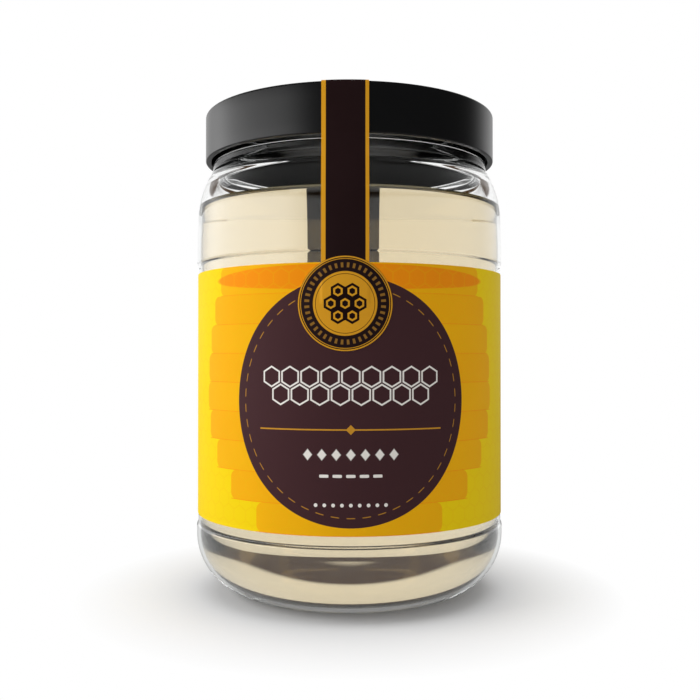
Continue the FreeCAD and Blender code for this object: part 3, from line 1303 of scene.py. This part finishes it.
@dataclass
class RoundSeal:
    """The disc pressed over the band's end, so that the band shows through as a low step."""

    path: PaperPath
    band_thickness: float = 0.2
    thickness: float = 0.15
    press: float = 0.5
    rings: int = 40
    around: int = 144

    def build(self, core: bpy.types.Material) -> bpy.types.Object:
        """A disc of rings. Radius is the path's at that height, plus the band where it lies."""
        low, high = box_mm("round_seal")
        band_low, band_high = box_mm("seal_strip")
        centre = (low[[0, 2]] + high[[0, 2]]) / 2
        size = float(high[0] - low[0]) / 2
        half_band = float(band_high[0] - band_low[0]) / 2
        path = self.path.points(centre[1] - size - 1.0)
        below = path[path[:, 1] < self.path.jar.shoulder_centre[1]]
        away = np.linspace(0.0, size, self.rings + 1)[1:]
        turn = np.arange(self.around) * (2 * math.pi / self.around)
        flat = np.stack([np.outer(away, np.cos(turn)), np.outer(away, np.sin(turn))], axis=-1)
        flat = np.vstack([flat.reshape(-1, 2), [[0.0, 0.0]]])

        def face(extra: float) -> np.ndarray:
            """The seal's points at a distance outside its inner face."""
            x, z = flat[:, 0] + centre[0], flat[:, 1] + centre[1]
            under = np.interp(z, below[::-1, 1], below[::-1, 0])
            over_band = smooth_step((half_band + self.press / 2 - abs(flat[:, 0])) / self.press)
            over_band = over_band * smooth_step((flat[:, 1] + self.press / 2) / self.press)
            radius = under + over_band * self.band_thickness + extra
            return np.column_stack([x, -np.sqrt(radius ** 2 - x ** 2), z])

        faces = [corners[::-1] for corners in grid_faces(self.rings, self.around, wrap=True)]
        last = len(flat) - 1
        step = np.arange(self.around)
        faces += np.column_stack([step * 0 + last, step, (step + 1) % self.around]).tolist()
        rim = (self.rings - 1) * self.around + step
        sheet = Sheet(face(self.thickness), face(0.0), faces, rim, flat)
        piece = sheet.build("round_seal", [SealPrint(radius=size).material(), core])
        return install(piece, "round_seal")


# ---------------------------------------------------------------- floor, light and camera


@dataclass(frozen=True)
class RayKinds:
    """Masks of rays: seen plainly, through glass and in a gloss."""

    camera: Signal
    through: Signal
    glossy: Signal


@dataclass(frozen=True)
class Studio:
    """A pale floor that fades into a white background, with one large soft light on the left.

    The zones are pairs of sines, of the turn to the left, ahead or up: where a change starts
    and where it ends.
    """

    floor_size: float = 3.0
    floor_colour: Colour = (0.86, 0.86, 0.86)
    floor_lift: float = 0.09
    through_lift: float = 0.22
    fade_from: float = 0.030
    fade_to: float = 0.061
    gloss_dim: float = 0.6
    ambient: float = 0.50
    dark_side: float = 0.05
    behind: tuple[float, float] = (0.30, 0.75)
    window_light: float = 3.0
    window_left: tuple[float, float] = (0.42, 0.80)
    window_end: tuple[float, float] = (0.35, 0.80)
    window_top: tuple[float, float] = (0.26, 0.36)
    dark_start: tuple[float, float] = (0.268, 0.288)
    dark_end: tuple[float, float] = (0.37, 0.40)
    dark_above: Colour = (0.060, 0.028, 0.008)

    def rays(self, graph: Graph) -> RayKinds:
        """Masks of the rays that have met no matt surface yet: plain, through glass or off a gloss."""
        path = graph.node("ShaderNodeLightPath")
        names = ("Is Camera Ray", "Is Glossy Ray", "Is Transmission Ray", "Diffuse Depth")
        camera, glossy, through, depth = (Signal(graph, path.outputs[name]) for name in names)
        fresh = depth.call("LESS_THAN", 0.5)
        return RayKinds(camera, through * fresh, glossy * fresh * (1.0 - through))

    def floor(self) -> None:
        """A large sheet whose own shade gives way to white with the distance from the jar."""
        half = self.floor_size / 2
        points = np.array([[-half, -half, 0], [half, -half, 0], [half, half, 0], [-half, half, 0]]) / MM
        material = bpy.data.materials.new("floor_white")
        material.use_nodes = True
        graph = Graph(material.node_tree)
        graph.tree.nodes.clear()
        shade, glow, white, total, fade, dim, output = (graph.node("ShaderNode" + kind) for kind in (
            "BsdfDiffuse", "Emission", "Emission", "AddShader", "MixShader", "MixShader", "OutputMaterial",
        ))
        place = graph.node("ShaderNodeVectorMath", operation="LENGTH")
        graph.put(place.inputs[0], graph.object_place())
        away = Signal(graph, place.outputs["Value"])
        span = self.fade_to - self.fade_from
        share = graph.math("MULTIPLY_ADD", away, 1 / span, -self.fade_from / span, clamp=True)
        kinds = self.rays(graph)
        seen = kinds.camera.either(kinds.through).either(kinds.glossy * 0.5)
        tone = graph.noise(graph.object_place(), 8.0)
        low = tuple(0.985 * c for c in self.floor_colour)
        graph.put(shade.inputs["Color"], graph.blend(tone, low, self.floor_colour))
        graph.put(glow.inputs["Strength"], kinds.through * self.through_lift + seen * self.floor_lift)
        for target, *values in (
            (total, shade, glow),
            (fade, share * seen, total, white),
            (dim, kinds.glossy * self.gloss_dim, fade),
        ):
            for socket, value in zip(target.inputs, values):
                graph.put(socket, value if isinstance(value, Signal) else value.outputs[0])
        graph.put(output.inputs["Surface"], dim.outputs[0])
        new_piece("floor", points, [[0, 1, 2, 3]], [material])

    def world(self) -> None:
        """White for the camera and through glass, plain soft light for surfaces, dim for gloss.

        Through glass a zone above the horizon is dark, which gives clear things their dark bands.
        """
        world = bpy.data.worlds.new("studio")
        bpy.context.scene.world = world
        world.use_nodes = True
        graph = Graph(world.node_tree)
        graph.tree.nodes.clear()
        seen = self.rays(graph)
        where = graph.node("ShaderNodeSeparateXYZ")
        graph.put(where.inputs[0], graph.node("ShaderNodeTexCoord").outputs["Generated"])
        across, ahead, up = (Signal(graph, part) for part in where.outputs)
        behind = graph.ease(ahead, *self.behind)
        window = graph.ease(across * -1.0, *self.window_left) * (1.0 - graph.ease(ahead, *self.window_end))
        window = window * (1.0 - graph.ease(up, *self.window_top))
        gloss = behind * (1.0 - self.dark_side) + self.dark_side + window * self.window_light
        high = graph.ease(up, *self.dark_start) * (1.0 - graph.ease(up, *self.dark_end))
        level = self.ambient + (gloss - self.ambient) * seen.glossy
        level = level + (1.0 - level) * seen.camera.either(seen.through)
        background, output = graph.node("ShaderNodeBackground"), graph.node("ShaderNodeOutputWorld")
        graph.fill(
            background, Strength=level,
            Color=graph.blend(high * seen.through, (1.0, 1.0, 1.0), self.dark_above),
        )
        graph.put(output.inputs["Surface"], background.outputs[0])

    def lamp(self, name: str, place: Sequence[float], size: Sequence[float], power: float) -> None:
        """A rectangular light that faces the jar's middle."""
        data = bpy.data.lights.new(name, "AREA")
        data.shape = "RECTANGLE"
        data.size, data.size_y = size
        data.energy = power
        light = bpy.data.objects.new(name, data)
        light.visible_glossy = False
        light.visible_transmission = False
        light.location = place
        middle = np.array([0.0, 0.0, 0.055])
        way = middle - np.array(place)
        light.rotation_euler = (
            math.atan2(math.hypot(way[0], way[1]), -way[2]), 0.0, math.atan2(-way[0], way[1]),
        )
        bpy.context.scene.collection.objects.link(light)

    def build(self) -> None:
        """Sets up the floor, the world and the lamps."""
        self.floor()
        self.world()
        self.lamp("soft_left", (-0.50, -0.12, 0.22), (0.42, 0.50), 1.9)
        self.lamp("soft_top", (0.05, -0.05, 0.75), (0.60, 0.60), 1.2)


@dataclass(frozen=True)
class Viewpoint:
    """A level camera in front of the jar, a little under its middle."""

    distance: float = 0.20726
    height: float = 0.0526
    across: float = 0.00014
    look_up: float = 0.38
    lens: float = 46.3

    def build(self) -> None:
        """Makes the camera and gives it to the scene."""
        data = bpy.data.cameras.new("camera")
        data.lens = self.lens
        data.sensor_width = 36.0
        data.clip_start = 0.005
        camera = bpy.data.objects.new("camera", data)
        camera.location = (self.across, -self.distance, self.height)
        camera.rotation_euler = (math.radians(90.0 + self.look_up), 0.0, 0.0)
        bpy.context.scene.collection.objects.link(camera)
        bpy.context.scene.camera = camera


def main() -> None:
    """Builds the camera and studio, then the jar from the glass outwards."""
    logging.basicConfig(level=logging.INFO, format="%(name)s: %(message)s")
    bpy.context.scene.view_settings.view_transform = "Standard"
    Viewpoint().build()
    Studio().build()
    jar = GlassJar()
    jar.build()
    HoneyFill(jar).build()
    ScrewLid(jar).build()
    core = PaperCore().material()
    path = PaperPath(jar)
    WrapLabel(jar).build(core)
    SealBand(path).build(PaperCore("band_core", (0.13, 0.085, 0.045)).material())
    RoundSeal(path).build(core)


if __name__ == "__main__":
    main()
